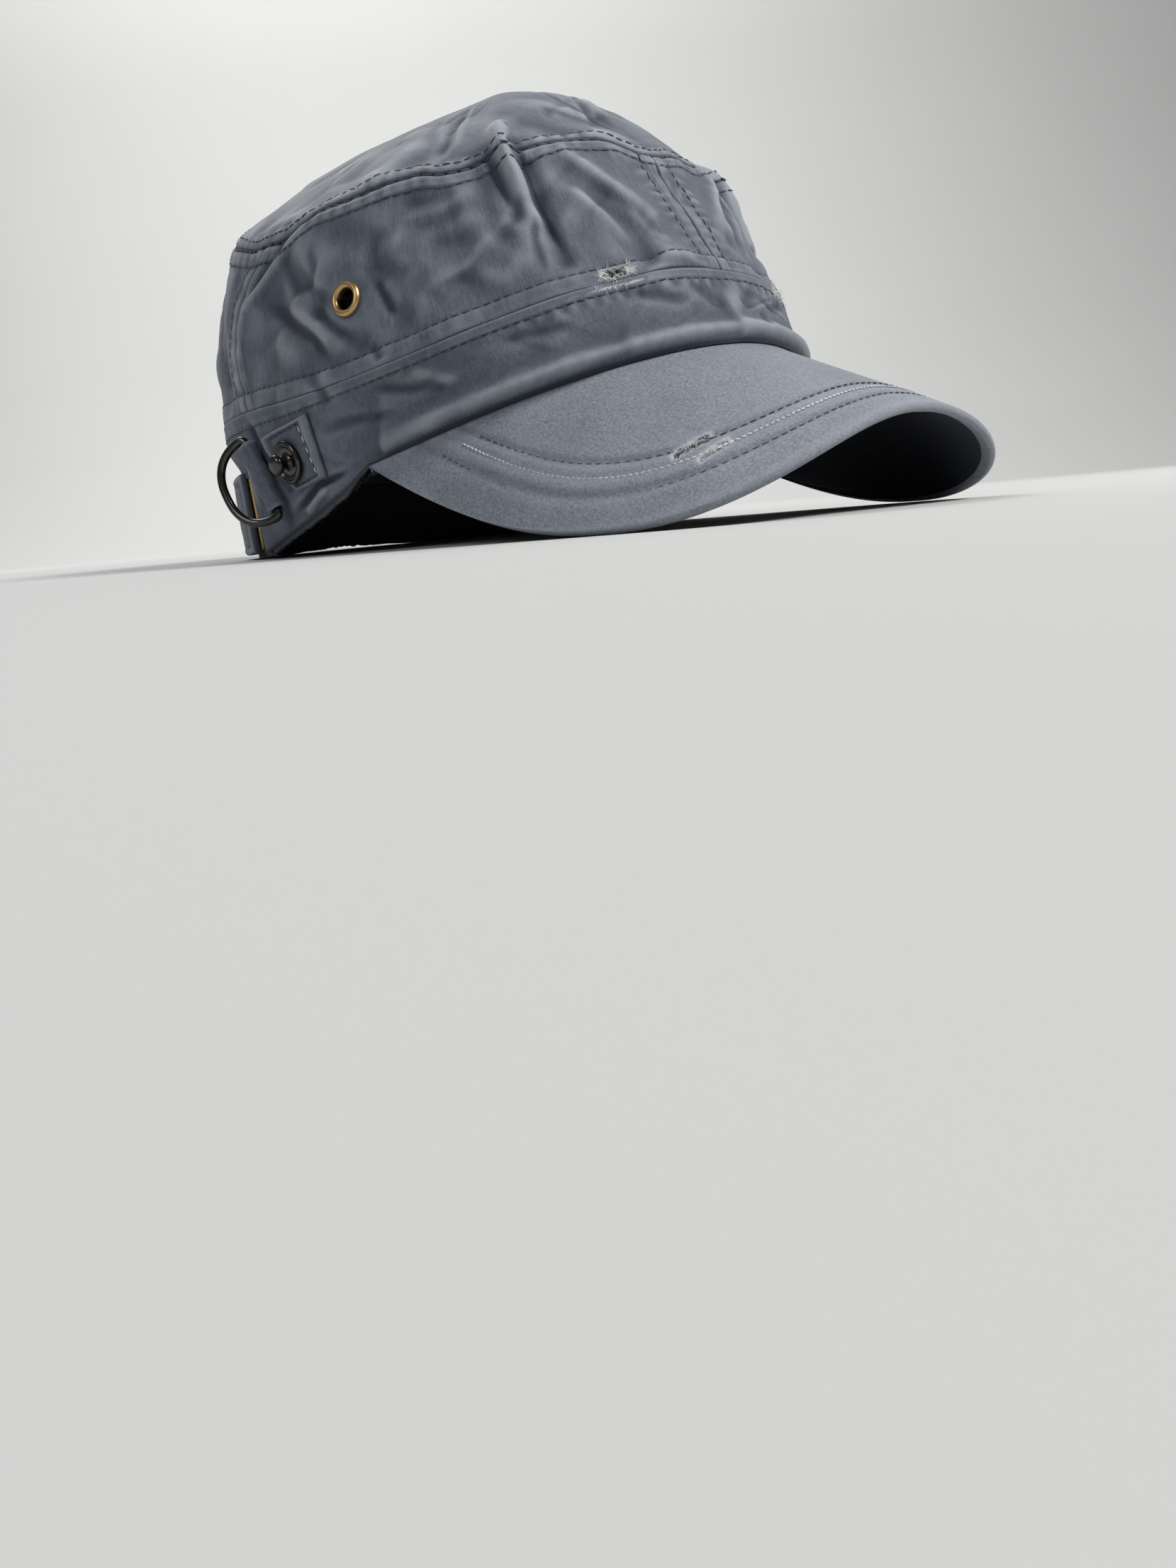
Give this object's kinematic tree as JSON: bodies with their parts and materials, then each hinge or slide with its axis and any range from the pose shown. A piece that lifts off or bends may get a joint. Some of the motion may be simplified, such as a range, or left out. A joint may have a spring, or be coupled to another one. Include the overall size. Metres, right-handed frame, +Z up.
{
  "type": "military cap",
  "caption": "Worn cotton military cap: flat-sided crown with a domed top, sewn band, curved peak, side tabs with press studs and D-rings, and a rear strap.",
  "frame": {"origin": "centre of the whole cap in plan, on the surface that it rests on", "axes": "+Z up, +Y towards the back of the head, the peak points along -Y, +X is the wearer's left"},
  "size_m": [0.1796, 0.2602, 0.1267],
  "materials": {
    "crown_cloth": "washed cotton twill, slate blue-grey, faded at the seams",
    "band_cloth": "washed cotton twill, slate blue-grey, frayed in places",
    "peak_cloth": "brushed cotton, blue-grey, stiff",
    "sweatband_cloth": "dark cotton tape",
    "gunmetal": "dark gunmetal plating, polished",
    "antique_brass": "antique brass, dull and rubbed bright on the rims"
  },
  "bodies": {
    "cap": {"crown_top": "crown_cloth", "side_panel_right": "crown_cloth", "side_panel_left": "crown_cloth", "back_panel": "crown_cloth", "band": "band_cloth", "sweatband": "sweatband_cloth", "peak": "peak_cloth", "tab_right": "band_cloth", "tab_left": "band_cloth", "stud_right": "gunmetal", "stud_left": "gunmetal", "eyelet_right": "antique_brass", "eyelet_left": "antique_brass", "rear_strap": "band_cloth", "strap_slide": "antique_brass"},
    "ring_right": {"ring_right": "gunmetal"},
    "ring_left": {"ring_left": "gunmetal"}
  },
  "joints": [
    {"name": "ring_right_swing", "type": "hinge", "parent": "cap", "child": "ring_right", "pos_m": [-0.08184, 0.03498, 0.02346], "axis": [-0.1171, 0.3899, 0.9134], "range_deg": [-30, 95]},
    {"name": "ring_left_swing", "type": "hinge", "parent": "cap", "child": "ring_left", "pos_m": [0.08184, 0.03498, 0.02346], "axis": [-0.1171, -0.3899, -0.9134], "range_deg": [-30, 95]}
  ]
}
